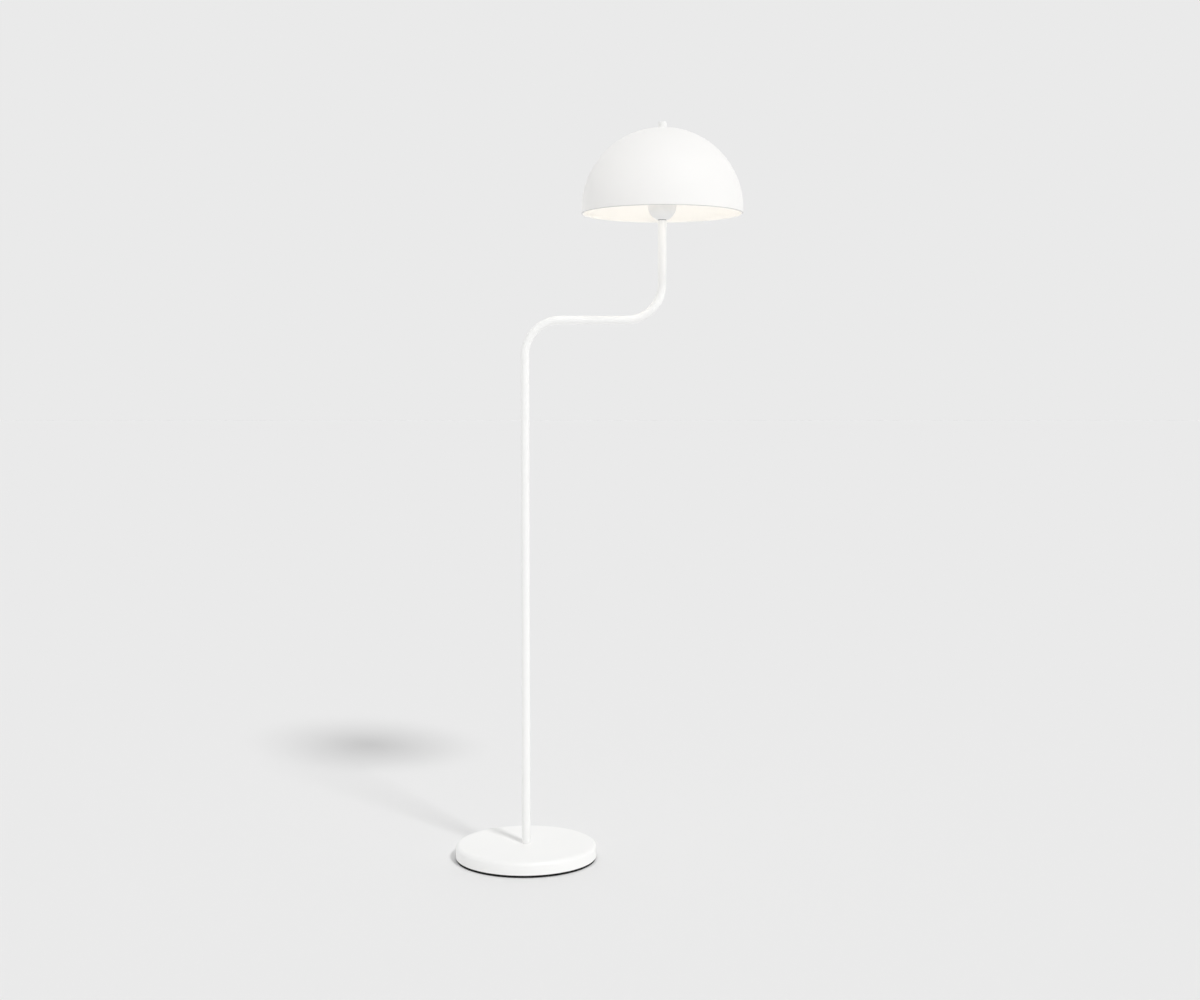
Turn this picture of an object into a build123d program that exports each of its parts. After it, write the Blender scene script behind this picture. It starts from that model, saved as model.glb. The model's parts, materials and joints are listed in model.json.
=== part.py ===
"""Floor lamp with a dome shade on a pole that steps sideways, in millimetres with +Z up.

The origin is the centre of the pad's underside. The pole rises on the Z axis and its arm runs along +X to the
head, where the lampholder, the harp, the shade and the finial share one upright axis.
"""

import os
from math import asin, degrees, sqrt

from build123d import *

os.makedirs("parts", exist_ok=True)

# Base
base_diameter = 267.0
base_height = 24.3
base_edge_radius = 8.0
cover_wall = 1.5
pad_thickness = 4.7
pad_inset = 1.5
weight_plate = 14.0
weight_web = 4.0
weight_rim = 12.0
weight_pocket_diameter = 70.0

# Pole
pole_diameter = 16.0
pole_wall = 1.2
lower_pole_length = 491.0
upper_pole_rise = 499.0
neck_height = 184.5
reach = 256.0
bend_radius = 66.0
bush_length = 18.0

# Hollow thread that joins the base, the pole and the lampholder
nipple_diameter = 10.0
nipple_bore = 6.5
nipple_grip = 14.0
nipple_tail = 0.5
nut_width = 14.0
nut_thickness = 4.0
nut_chamfer = 0.5
washer_diameter = 28.0
washer_thickness = 1.5

# Cord inlet at the rear of the base
inlet_height = 7.8
inlet_bore = 6.4
inlet_hole_diameter = 10.0
inlet_flange_diameter = 13.0
inlet_flange_thickness = 2.0
inlet_flange_edge = 0.8
inlet_lip_diameter = 11.6
inlet_lip_length = 2.5
inlet_lip_taper = 12.0
inlet_notch_width = 14.0

# Terminal block in the base
terminal_distance = 62.0
terminal_width = 18.0
terminal_length = 16.0
terminal_height = 8.0
terminal_edge = 0.6
terminal_pitch = 9.0
terminal_bore = 3.4
terminal_screw_diameter = 3.0
terminal_screw_length = 2.2
terminal_screw_spacing = 8.0
terminal_screw_sink = 0.6
fixing_head_diameter = 5.4
fixing_head_thickness = 1.8
fixing_shank_diameter = 3.0
fixing_grip = 6.0

# Inner lead with two cores
lead_diameter = 5.0
core_diameter = 2.0
core_spacing = 2.4
core_tail = 8.0
core_grip = 5.0
core_straight = 2.0
core_bend = 1.6

# Cup round the lampholder
cup_diameter = 52.0
cup_height = 30.0
cup_bowl_height = 24.0
cup_wall = 0.8
spacer_diameter = 15.2
spacer_thickness = 0.9

# Lampholder
holder_diameter = 40.0
holder_wall = 2.0
holder_base_height = 26.0
holder_neck_diameter = 15.0
holder_neck_height = 4.0
holder_dome_height = 14.0
holder_floor_height = 10.0
holder_chamber_diameter = 29.0
wiring_space = 6.0
carrier_thickness = 5.0
carrier_hole_pitch = 12.0
carrier_hole_diameter = 2.4
contact_screw_pitch = 19.0
contact_screw_diameter = 2.8
contact_screw_length = 4.0
contact_head_diameter = 5.0
contact_head_thickness = 1.6
contact_width = 6.0
contact_strip = 0.5
contact_rise = 3.0
contact_overlap = 3.0
side_contact_height = 16.0
flange_diameter = 44.0
flange_height = 5.0
holder_skirt_height = 19.0
holder_spigot = 2.0
holder_edge = 1.0
clamp_ring_diameter = 50.0
clamp_ring_height = 8.0
clamp_notch_count = 16
clamp_notch_diameter = 4.0

# Bulb
bulb_diameter = 60.0
bulb_length = 106.0
bulb_housing_height = 35.0
bulb_neck_diameter = 28.0
bulb_wall = 1.2
bulb_cap_diameter = 26.2
bulb_cap_length = 27.0
bulb_cap_wall = 0.5
bulb_cap_mouth = 21.0
bulb_cap_taper = 3.0
bulb_insulator_drop = 3.3
bulb_insulator_depth = 2.0
bulb_contact_diameter = 9.6
bulb_contact_thickness = 1.2
led_board_thickness = 1.6
led_board_diameter = 46.0

# Harp
harp_ring_diameter = 54.0
harp_ring_thickness = 1.5
harp_rise = 133.1
harp_width = 92.0
harp_wire_diameter = 4.0
harp_foot = 8.0
harp_flare = 37.0
harp_foot_bend = 10.0
harp_flare_bend = 40.0
harp_shoulder_bend = 28.0
crown_diameter = 20.0
crown_thickness = 4.0
crown_weld = 1.0
stud_diameter = 6.0
stud_length = 11.0
stud_chamfer = 0.6
seat_washer_diameter = 18.0
seat_washer_thickness = 0.8

# Shade and finial
shade_diameter = 300.0
shade_skirt = 8.5
shade_wall = 1.0
shade_land_diameter = 28.0
hem_height = 6.0
hem_wall = 2.0
hem_edge = 1.0
finial_diameter = 16.0
finial_height = 11.1
finial_edge = 1.2
finial_lift = 0.3
finial_washer_diameter = 12.0
finial_washer_thickness = 1.5

# Fits, all measured on the radius or face to face
thread_gap = 0.05
hole_gap = 0.3
insert_gap = 0.1
weight_gap = 0.5
lip_gap = 0.3
cap_gap = 0.3
contact_gap = 0.1
recess_gap = 0.2
bore_end_gap = 0.5

# Base heights and radii
base_radius = base_diameter / 2
base_top = pad_thickness + base_height
cover_roof = base_top - cover_wall
weight_radius = base_radius - cover_wall - weight_gap
cavity_roof = cover_roof - weight_plate
pocket_roof = cover_roof - weight_web
nut_top = pocket_roof - washer_thickness
nipple_foot = nut_top - nut_thickness - nipple_tail
inlet_z = pad_thickness + inlet_height
lead_z = cavity_roof - terminal_height / 2
terminal_y = terminal_distance + terminal_length / 2

# Pole heights and radii
pole_radius = pole_diameter / 2
pole_bore_radius = pole_radius - pole_wall
bush_radius = pole_bore_radius - insert_gap
thread_radius = nipple_diameter / 2
thread_bore_radius = thread_radius + thread_gap
joint_z = base_top + lower_pole_length
arm_z = joint_z + upper_pole_rise
pole_top = arm_z + neck_height

# Lampholder heights and radii
cup_z = pole_top + spacer_thickness
holder_z = cup_z + cup_wall
holder_floor = holder_z + holder_floor_height
carrier_z = holder_floor + wiring_space
carrier_top = carrier_z + carrier_thickness
holder_split = holder_z + holder_base_height
flange_top = holder_split + flange_height
holder_top = flange_top + holder_skirt_height
holder_radius = holder_diameter / 2
holder_inner_radius = holder_radius - holder_wall
sheath_end = holder_floor + bore_end_gap

# Bulb heights and radii
tip_z = carrier_top + contact_rise
cap_foot = tip_z + bulb_contact_thickness + bulb_insulator_drop
cap_rim = tip_z + bulb_cap_length
cap_radius = bulb_cap_diameter / 2
socket_radius = cap_radius + cap_gap
bulb_radius = bulb_diameter / 2
globe_foot = cap_rim + bulb_housing_height
globe_centre = tip_z + bulb_length - bulb_radius
globe_foot_radius = sqrt(bulb_radius**2 - (globe_centre - globe_foot) ** 2)

# Harp, shade and finial heights and radii
ring_top = flange_top + harp_ring_thickness
seat_z = ring_top + harp_rise
wire_radius = harp_wire_diameter / 2
wire_top_z = seat_z - crown_thickness + crown_weld - wire_radius
stud_radius = stud_diameter / 2
stud_top = seat_z + stud_length
shade_radius = shade_diameter / 2
land_top = seat_z + seat_washer_thickness + shade_wall
spring_z = land_top - sqrt(shade_radius**2 - (shade_land_diameter / 2) ** 2)
rim_z = spring_z - shade_skirt
finial_z = land_top + finial_lift

# Planes and axis of the head
head_side = Plane(origin=(reach, 0, 0), x_dir=(1, 0, 0), z_dir=(0, -1, 0))
head_axis = Axis((reach, 0, 0), (0, 0, 1))


def head_level(height):
    """Level plane on the head's axis."""
    return Plane((reach, 0, height))


def dome_outline(radius, top):
    """Half section of the shade's solid dome, from the rim up to a flat land."""
    with BuildSketch(head_side) as outline:
        with BuildLine():
            foot = Line((0, rim_z), (radius, rim_z))
            Line(foot @ 1, (radius, spring_z))
            dome = CenterArc((0, spring_z), radius, 0, degrees(asin((top - spring_z) / radius)))
            land = Line(dome @ 1, (0, top))
            Line(land @ 1, foot @ 0)
        make_face()
    return outline.sketch


# Pad under the base
with BuildPart() as base_pad:
    with BuildSketch():
        Circle(base_radius - pad_inset)
    extrude(amount=pad_thickness)

# Pressed cover of the base, with a hole for the nipple and one for the cord inlet
inlet_plane = Plane(origin=(0, base_radius, inlet_z), x_dir=(-1, 0, 0), z_dir=(0, 1, 0))
with BuildPart() as base_cover:
    with BuildSketch(Plane.XY.offset(pad_thickness)):
        Circle(base_radius)
    extrude(amount=base_height)
    fillet(base_cover.edges().group_by(Axis.Z)[-1], radius=base_edge_radius)
    offset(amount=-cover_wall, openings=base_cover.faces().sort_by(Axis.Z)[0])
    with BuildSketch(Plane.XY.offset(base_top)):
        Circle(thread_radius + hole_gap)
    extrude(amount=-cover_wall, mode=Mode.SUBTRACT)
    with BuildSketch(inlet_plane):
        Circle(inlet_hole_diameter / 2)
    extrude(amount=-2 * cover_wall, mode=Mode.SUBTRACT)

# Iron weight: rim, plate, thin web under the pole, and a notch for the inlet
with BuildPart() as base_weight:
    with BuildSketch(Plane.XY.offset(pad_thickness)):
        Circle(weight_radius)
    extrude(amount=cover_roof - pad_thickness)
    fillet(base_weight.edges().group_by(Axis.Z)[-1], radius=base_edge_radius - cover_wall)
    with BuildSketch(Plane.XY.offset(pad_thickness)):
        Circle(weight_radius - weight_rim)
    extrude(amount=cavity_roof - pad_thickness, mode=Mode.SUBTRACT)
    with BuildSketch(Plane.XY.offset(pad_thickness)):
        Circle(weight_pocket_diameter / 2)
    extrude(amount=pocket_roof - pad_thickness, mode=Mode.SUBTRACT)
    with BuildSketch(Plane.XY.offset(pocket_roof)):
        Circle(thread_radius + hole_gap)
    extrude(amount=weight_web, mode=Mode.SUBTRACT)
    with Locations((0, weight_radius, pad_thickness)):
        Box(
            inlet_notch_width,
            2 * weight_rim,
            inlet_height + inlet_notch_width / 2,
            align=(Align.CENTER, Align.CENTER, Align.MIN),
            mode=Mode.SUBTRACT,
        )
    with BuildSketch(Plane((0, terminal_y, cavity_roof))):
        Circle(fixing_shank_diameter / 2 + thread_gap)
    extrude(amount=fixing_grip + bore_end_gap, mode=Mode.SUBTRACT)

# Soft bush of the cord inlet, snapped into the cover
with BuildPart() as cord_inlet:
    with BuildSketch(inlet_plane):
        Circle(inlet_flange_diameter / 2)
    extrude(amount=inlet_flange_thickness)
    fillet(cord_inlet.edges().group_by(Axis.Y)[-1], radius=inlet_flange_edge)
    with BuildSketch(inlet_plane):
        Circle(inlet_hole_diameter / 2 - insert_gap)
    extrude(amount=-cover_wall - lip_gap)
    with BuildSketch(inlet_plane.offset(-cover_wall - lip_gap)):
        Circle(inlet_lip_diameter / 2)
    extrude(amount=-inlet_lip_length, taper=inlet_lip_taper)
    with BuildSketch(inlet_plane.offset(inlet_flange_thickness)):
        Circle(inlet_bore / 2)
    extrude(amount=-inlet_flange_thickness - cover_wall - lip_gap - inlet_lip_length, mode=Mode.SUBTRACT)

# Terminal block, screwed up into the weight, with its clamping screws reached from below
terminal_foot = cavity_roof - terminal_height
screw_spots = GridLocations(terminal_pitch, terminal_screw_spacing, 2, 2).locations
with BuildPart() as terminal_block:
    with Locations((0, terminal_y, terminal_foot)):
        Box(
            terminal_width,
            terminal_length,
            terminal_height,
            align=(Align.CENTER, Align.CENTER, Align.MIN),
        )
    fillet(terminal_block.edges().filter_by(Axis.Z), radius=terminal_edge)
    with BuildSketch(Plane.XZ.offset(-terminal_distance)):
        with Locations((-terminal_pitch / 2, lead_z), (terminal_pitch / 2, lead_z)):
            Circle(terminal_bore / 2)
    extrude(amount=-terminal_length, mode=Mode.SUBTRACT)
    with BuildSketch(Plane((0, terminal_y, terminal_foot))):
        with Locations(*screw_spots):
            Circle(terminal_screw_diameter / 2 + thread_gap)
    extrude(amount=terminal_height / 2, mode=Mode.SUBTRACT)
    with BuildSketch(Plane((0, terminal_y, terminal_foot))):
        Circle(fixing_head_diameter / 2 + recess_gap)
    extrude(amount=fixing_head_thickness, mode=Mode.SUBTRACT)
    with BuildSketch(Plane((0, terminal_y, terminal_foot))):
        Circle(fixing_shank_diameter / 2 + insert_gap)
    extrude(amount=terminal_height, mode=Mode.SUBTRACT)

with BuildPart() as terminal_screws:
    with BuildSketch(Plane((0, terminal_y, terminal_foot + terminal_screw_sink))):
        with Locations(*screw_spots):
            Circle(terminal_screw_diameter / 2)
    extrude(amount=terminal_screw_length)

with BuildPart() as terminal_fixing:
    with BuildSketch(Plane((0, terminal_y, terminal_foot))):
        Circle(fixing_head_diameter / 2)
    extrude(amount=fixing_head_thickness)
    with BuildSketch(Plane((0, terminal_y, terminal_foot))):
        Circle(fixing_shank_diameter / 2)
    extrude(amount=terminal_height + fixing_grip)

# Nipple, washer and nut that clamp the pole to the base
with BuildPart() as base_nipple:
    with BuildSketch(Plane.XY.offset(nipple_foot)):
        Circle(thread_radius)
        Circle(nipple_bore / 2, mode=Mode.SUBTRACT)
    extrude(amount=base_top + nipple_grip - nipple_foot)

with BuildPart() as base_washer:
    with BuildSketch(Plane.XY.offset(nut_top)):
        Circle(washer_diameter / 2)
        Circle(thread_radius + hole_gap, mode=Mode.SUBTRACT)
    extrude(amount=washer_thickness)

with BuildPart() as base_nut:
    with BuildSketch(Plane.XY.offset(nut_top)):
        RegularPolygon(nut_width / 2, 6, major_radius=False)
    extrude(amount=-nut_thickness)
    chamfer(base_nut.edges().group_by(Axis.Z)[0], length=nut_chamfer)
    with BuildSketch(Plane.XY.offset(nut_top)):
        Circle(thread_bore_radius)
    extrude(amount=-nut_thickness, mode=Mode.SUBTRACT)

# Lower pole with the bush in its foot
with BuildPart() as lower_pole:
    with BuildSketch(Plane.XY.offset(base_top)):
        Circle(pole_radius)
        Circle(pole_bore_radius, mode=Mode.SUBTRACT)
    extrude(amount=lower_pole_length)

with BuildPart() as foot_bush:
    with BuildSketch(Plane.XY.offset(base_top)):
        Circle(bush_radius)
        Circle(thread_bore_radius, mode=Mode.SUBTRACT)
    extrude(amount=bush_length)

# Threaded joint between the two pole sections
with BuildPart() as joint_spigot:
    with BuildSketch(Plane.XY.offset(joint_z)):
        Circle(bush_radius)
    extrude(amount=-bush_length)
    with BuildSketch(Plane.XY.offset(joint_z)):
        Circle(thread_radius)
    extrude(amount=nipple_grip)
    with BuildSketch(Plane.XY.offset(joint_z - bush_length)):
        Circle(nipple_bore / 2)
    extrude(amount=bush_length + nipple_grip, mode=Mode.SUBTRACT)

with BuildPart() as joint_bush:
    with BuildSketch(Plane.XY.offset(joint_z)):
        Circle(bush_radius)
        Circle(thread_bore_radius, mode=Mode.SUBTRACT)
    extrude(amount=bush_length)

# Upper pole, bent out along the arm and up again, with the bush in its top
with BuildPart() as upper_pole:
    with BuildLine(Plane.XZ) as pole_run:
        FilletPolyline((0, joint_z), (0, arm_z), (reach, arm_z), (reach, pole_top), radius=bend_radius)
    with BuildSketch(Plane.XY.offset(joint_z)):
        Circle(pole_radius)
        Circle(pole_bore_radius, mode=Mode.SUBTRACT)
    sweep(path=pole_run.wires()[0])

with BuildPart() as top_bush:
    with BuildSketch(head_level(pole_top)):
        Circle(bush_radius)
        Circle(thread_bore_radius, mode=Mode.SUBTRACT)
    extrude(amount=-bush_length)

with BuildPart() as top_nipple:
    with BuildSketch(head_level(pole_top - nipple_grip)):
        Circle(thread_radius)
        Circle(nipple_bore / 2, mode=Mode.SUBTRACT)
    extrude(amount=holder_floor - pole_top + nipple_grip)

# Spacer on the pole's end, narrower than the pole
with BuildPart() as cup_spacer:
    with BuildSketch(head_level(pole_top)):
        Circle(spacer_diameter / 2)
        Circle(thread_radius + hole_gap, mode=Mode.SUBTRACT)
    extrude(amount=spacer_thickness)

# Bowl-shaped cup, clamped between the spacer and the lampholder
with BuildPart() as socket_cup:
    with BuildSketch(head_side):
        with BuildLine():
            cup_foot = Line((0, cup_z), (holder_neck_diameter / 2 + cup_wall, cup_z))
            cup_bowl = TangentArc(
                (cup_diameter / 2, cup_z + cup_bowl_height), cup_foot @ 1, tangent=(0, -1)
            )
            cup_side = Line(cup_bowl @ 0, (cup_diameter / 2, cup_z + cup_height))
            cup_mouth = Line(cup_side @ 1, (0, cup_z + cup_height))
            Line(cup_mouth @ 1, cup_foot @ 0)
        make_face()
    revolve(axis=head_axis)
    offset(amount=-cup_wall, openings=socket_cup.faces().sort_by(Axis.Z)[-1])
    with BuildSketch(head_level(cup_z)):
        Circle(thread_radius + hole_gap)
    extrude(amount=cup_wall, mode=Mode.SUBTRACT)

# Lampholder base, screwed on the nipple
with BuildPart() as holder_base:
    with BuildSketch(head_side):
        with BuildLine():
            neck_foot = Line((0, holder_z), (holder_neck_diameter / 2, holder_z))
            neck = Line(neck_foot @ 1, (holder_neck_diameter / 2, holder_z + holder_neck_height))
            holder_dome = TangentArc(
                (holder_radius, holder_z + holder_neck_height + holder_dome_height), neck @ 1, tangent=(0, -1)
            )
            holder_side = Line(holder_dome @ 0, (holder_radius, holder_split))
            holder_mouth = Line(holder_side @ 1, (0, holder_split))
            Line(holder_mouth @ 1, neck_foot @ 0)
        make_face()
    revolve(axis=head_axis)
    with BuildSketch(head_level(carrier_z)):
        Circle(holder_inner_radius)
    extrude(amount=holder_split - carrier_z, mode=Mode.SUBTRACT)
    with BuildSketch(head_level(holder_floor)):
        Circle(holder_chamber_diameter / 2)
    extrude(amount=wiring_space, mode=Mode.SUBTRACT)
    with BuildSketch(head_level(holder_z)):
        Circle(thread_bore_radius)
    extrude(amount=holder_floor_height, mode=Mode.SUBTRACT)

# Contact carrier, with holes for the cores and for the contact screws
contact_screw_spots = GridLocations(contact_screw_pitch, 0, 2, 1).locations
with BuildPart() as contact_carrier:
    with BuildSketch(head_level(carrier_z)):
        Circle(holder_inner_radius - insert_gap)
        with GridLocations(carrier_hole_pitch, 0, 2, 1):
            Circle(carrier_hole_diameter / 2, mode=Mode.SUBTRACT)
        with Locations(*contact_screw_spots):
            Circle(contact_screw_diameter / 2 + thread_gap, mode=Mode.SUBTRACT)
    extrude(amount=carrier_thickness)

# Sprung centre contact: a foot under its screw, a ramp, and a tongue under the bulb
tongue_z = tip_z - contact_gap - contact_strip / 2
strip_z = carrier_top + contact_strip / 2
contact_tail = contact_screw_pitch / 2 + contact_width / 2
with BuildPart() as centre_contact:
    with BuildSketch(head_side):
        with BuildLine():
            Polyline(
                (-contact_tail, strip_z),
                (-contact_screw_pitch / 2 + contact_width / 2, strip_z),
                (-contact_overlap / 2, tongue_z),
                (contact_overlap, tongue_z),
            )
        trace(line_width=contact_strip)
    extrude(amount=contact_width / 2, both=True)
    with BuildSketch(head_level(carrier_top)):
        with Locations((-contact_screw_pitch / 2, 0)):
            Circle(contact_screw_diameter / 2 + insert_gap)
    extrude(amount=contact_strip, mode=Mode.SUBTRACT)

# Side contact: a foot under its screw and an upright beside the bulb's cap
upright_x = socket_radius + contact_gap + contact_strip / 2
with BuildPart() as side_contact:
    with BuildSketch(head_side):
        with BuildLine():
            Polyline(
                (contact_screw_pitch / 2 - contact_width / 2, strip_z),
                (upright_x, strip_z),
                (upright_x, carrier_top + side_contact_height),
            )
        trace(line_width=contact_strip)
    extrude(amount=contact_width / 2, both=True)
    with BuildSketch(head_level(carrier_top)):
        with Locations((contact_screw_pitch / 2, 0)):
            Circle(contact_screw_diameter / 2 + insert_gap)
    extrude(amount=contact_strip, mode=Mode.SUBTRACT)

with BuildPart() as contact_screws:
    with BuildSketch(head_level(carrier_top + contact_strip)):
        with Locations(*contact_screw_spots):
            Circle(contact_head_diameter / 2)
    extrude(amount=contact_head_thickness)
    with BuildSketch(head_level(carrier_top + contact_strip)):
        with Locations(*contact_screw_spots):
            Circle(contact_screw_diameter / 2)
    extrude(amount=-contact_screw_length)

# Lampholder shell: spigot in the base, flange for the harp, skirt, and a slot for the side contact
with BuildPart() as holder_shell:
    with BuildSketch(head_level(holder_split)):
        Circle(holder_inner_radius - insert_gap)
    extrude(amount=-holder_spigot)
    with BuildSketch(head_level(holder_split)):
        Circle(flange_diameter / 2)
    extrude(amount=flange_height)
    with BuildSketch(head_level(flange_top)):
        Circle(holder_radius)
    extrude(amount=holder_skirt_height)
    fillet(holder_shell.edges().group_by(Axis.Z)[-1], radius=holder_edge)
    with BuildSketch(head_level(holder_split - holder_spigot)):
        Circle(socket_radius)
    extrude(amount=holder_top - holder_split + holder_spigot, mode=Mode.SUBTRACT)
    with Locations((reach + upright_x, 0, holder_split - holder_spigot)):
        Box(
            contact_strip + 2 * recess_gap,
            contact_width + 2 * recess_gap,
            carrier_top + side_contact_height + bore_end_gap - holder_split + holder_spigot,
            align=(Align.CENTER, Align.CENTER, Align.MIN),
            mode=Mode.SUBTRACT,
        )

# Notched ring that screws down the skirt and clamps the harp
with BuildPart() as clamp_ring:
    with BuildSketch(head_level(ring_top)):
        Circle(clamp_ring_diameter / 2)
        Circle(holder_radius + thread_gap, mode=Mode.SUBTRACT)
        with PolarLocations(clamp_ring_diameter / 2, clamp_notch_count):
            Circle(clamp_notch_diameter / 2, mode=Mode.SUBTRACT)
    extrude(amount=clamp_ring_height)

# Harp: ring, bent wire, crown and stud, welded into one piece
harp_leg_x = harp_ring_diameter / 2 - wire_radius
harp_half = harp_width / 2
harp_knee_z = ring_top + harp_foot + harp_flare
with BuildPart() as harp:
    with BuildLine(head_side) as harp_run:
        FilletPolyline(
            (harp_leg_x, ring_top),
            (harp_leg_x, ring_top + harp_foot),
            (harp_half, harp_knee_z),
            (harp_half, wire_top_z),
            (-harp_half, wire_top_z),
            (-harp_half, harp_knee_z),
            (-harp_leg_x, ring_top + harp_foot),
            (-harp_leg_x, ring_top),
            radius=(
                harp_foot_bend,
                harp_flare_bend,
                harp_shoulder_bend,
                harp_shoulder_bend,
                harp_flare_bend,
                harp_foot_bend,
            ),
        )
    with BuildSketch(Plane((reach + harp_leg_x, 0, ring_top))):
        Circle(wire_radius)
    sweep(path=harp_run.wires()[0])
    with BuildSketch(head_level(flange_top)):
        Circle(harp_ring_diameter / 2)
        Circle(holder_radius + hole_gap, mode=Mode.SUBTRACT)
    extrude(amount=harp_ring_thickness)
    with BuildSketch(head_level(seat_z)):
        Circle(crown_diameter / 2)
    extrude(amount=-crown_thickness)
    with BuildSketch(head_level(seat_z)):
        Circle(stud_radius)
    extrude(amount=stud_length)
    chamfer(harp.edges().group_by(Axis.Z)[-1], length=stud_chamfer)

with BuildPart() as seat_washer:
    with BuildSketch(head_level(seat_z)):
        Circle(seat_washer_diameter / 2)
        Circle(stud_radius + hole_gap, mode=Mode.SUBTRACT)
    extrude(amount=seat_washer_thickness)

# Spun shade with a flat land on top and a round-edged hem folded inside its rim
with BuildPart() as shade:
    add(dome_outline(shade_radius, land_top))
    revolve(axis=head_axis)
    add(dome_outline(shade_radius - shade_wall, land_top - shade_wall))
    revolve(axis=head_axis, mode=Mode.SUBTRACT)
    with BuildSketch(head_level(rim_z)):
        Circle(shade_radius)
        Circle(shade_radius - shade_wall - hem_wall, mode=Mode.SUBTRACT)
    extrude(amount=hem_height)
    fillet(shade.edges().group_by(Axis.Z)[0], radius=hem_edge)
    with BuildSketch(head_level(land_top)):
        Circle(stud_radius + hole_gap)
    extrude(amount=-shade_wall, mode=Mode.SUBTRACT)

# Finial with a washer held in its underside
with BuildPart() as finial_washer:
    with BuildSketch(head_level(land_top)):
        Circle(finial_washer_diameter / 2)
        Circle(stud_radius + hole_gap, mode=Mode.SUBTRACT)
    extrude(amount=finial_washer_thickness)

with BuildPart() as finial:
    with BuildSketch(head_level(finial_z)):
        Circle(finial_diameter / 2)
    extrude(amount=finial_height)
    fillet(finial.edges().group_by(Axis.Z)[-1], radius=finial_edge)
    with BuildSketch(head_level(finial_z)):
        Circle(finial_washer_diameter / 2 + recess_gap)
    extrude(amount=finial_washer_thickness - finial_lift, mode=Mode.SUBTRACT)
    with BuildSketch(head_level(finial_z)):
        Circle(stud_radius + thread_gap)
    extrude(amount=stud_top + bore_end_gap - finial_z, mode=Mode.SUBTRACT)

# Bulb: end contact, insulator, screw cap, housing, board and globe
with BuildPart() as bulb_contact:
    with BuildSketch(head_level(tip_z)):
        Circle(bulb_contact_diameter / 2)
    extrude(amount=bulb_contact_thickness)
    fillet(bulb_contact.edges().group_by(Axis.Z)[0], radius=bulb_contact_thickness / 2)

mouth_radius = bulb_cap_mouth / 2
insulator_radius = mouth_radius - bulb_cap_wall - insert_gap
with BuildPart() as bulb_insulator:
    with BuildSketch(head_side):
        Polygon(
            (0, tip_z + bulb_contact_thickness),
            (bulb_contact_diameter / 2, tip_z + bulb_contact_thickness),
            (insulator_radius, cap_foot),
            (insulator_radius, cap_foot + bulb_insulator_depth),
            (0, cap_foot + bulb_insulator_depth),
            align=None,
        )
    revolve(axis=head_axis)

with BuildPart() as bulb_cap:
    with BuildSketch(head_side):
        Polygon(
            (mouth_radius - bulb_cap_wall, cap_foot),
            (mouth_radius, cap_foot),
            (cap_radius, cap_foot + bulb_cap_taper),
            (cap_radius, cap_rim),
            (cap_radius - bulb_cap_wall, cap_rim),
            (cap_radius - bulb_cap_wall, cap_foot + bulb_cap_taper),
            align=None,
        )
    revolve(axis=head_axis)

with BuildPart() as bulb_housing:
    with BuildSketch(head_side):
        with BuildLine():
            housing_foot = Line((0, cap_rim), (bulb_neck_diameter / 2, cap_rim))
            housing_side = TangentArc(housing_foot @ 1, (globe_foot_radius, globe_foot), tangent=(0, 1))
            housing_mouth = Line(housing_side @ 1, (0, globe_foot))
            Line(housing_mouth @ 1, housing_foot @ 0)
        make_face()
    revolve(axis=head_axis)
    housing_ends = bulb_housing.faces().sort_by(Axis.Z)
    offset(amount=-bulb_wall, openings=[housing_ends[0], housing_ends[-1]])

with BuildPart() as led_board:
    with BuildSketch(head_level(globe_foot)):
        Circle(led_board_diameter / 2)
    extrude(amount=-led_board_thickness)

with BuildPart() as bulb_globe:
    with BuildSketch(head_side):
        with BuildLine():
            globe_low = degrees(asin((globe_foot - globe_centre) / bulb_radius))
            globe_side = CenterArc((0, globe_centre), bulb_radius, globe_low, 90 - globe_low)
            globe_axis = Line(globe_side @ 1, (0, globe_foot))
            Line(globe_axis @ 1, globe_side @ 0)
        make_face()
    revolve(axis=head_axis)
    offset(amount=-bulb_wall, openings=bulb_globe.faces().sort_by(Axis.Z)[0])

# Inner lead: along the base, up the pole and along its bends to the lampholder
sheath_y = terminal_distance - core_tail
with BuildPart() as inner_lead:
    with BuildLine() as lead_run:
        FilletPolyline(
            (0, sheath_y, lead_z),
            (0, 0, lead_z),
            (0, 0, arm_z),
            (reach, 0, arm_z),
            (reach, 0, sheath_end),
            radius=(nipple_foot - lead_z, bend_radius, bend_radius),
        )
    with BuildSketch(Plane(origin=(0, sheath_y, lead_z), x_dir=(1, 0, 0), z_dir=(0, -1, 0))):
        Circle(lead_diameter / 2)
    sweep(path=lead_run.wires()[0])


def core_ends(side):
    """Both bare ends of one core, at the terminal block and at the contact carrier."""
    near = side * core_spacing / 2
    block = side * terminal_pitch / 2
    hole = side * carrier_hole_pitch / 2
    with BuildPart() as ends:
        with BuildLine() as low_run:
            FilletPolyline(
                (near, sheath_y, lead_z),
                (near, sheath_y + core_straight, lead_z),
                (block, terminal_distance - core_straight, lead_z),
                (block, terminal_distance + core_grip, lead_z),
                radius=core_bend,
            )
        with BuildSketch(Plane(origin=(near, sheath_y, lead_z), x_dir=(-1, 0, 0), z_dir=(0, 1, 0))):
            Circle(core_diameter / 2)
        sweep(path=low_run.wires()[0])
        with BuildLine(head_side) as high_run:
            FilletPolyline(
                (near, sheath_end),
                (near, sheath_end + core_straight),
                (hole, carrier_z - core_straight),
                (hole, carrier_top - bore_end_gap),
                radius=core_bend,
            )
        with BuildSketch(Plane((reach + near, 0, sheath_end))):
            Circle(core_diameter / 2)
        sweep(path=high_run.wires()[0])
    return ends


brown_core = core_ends(-1)
blue_core = core_ends(1)

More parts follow.
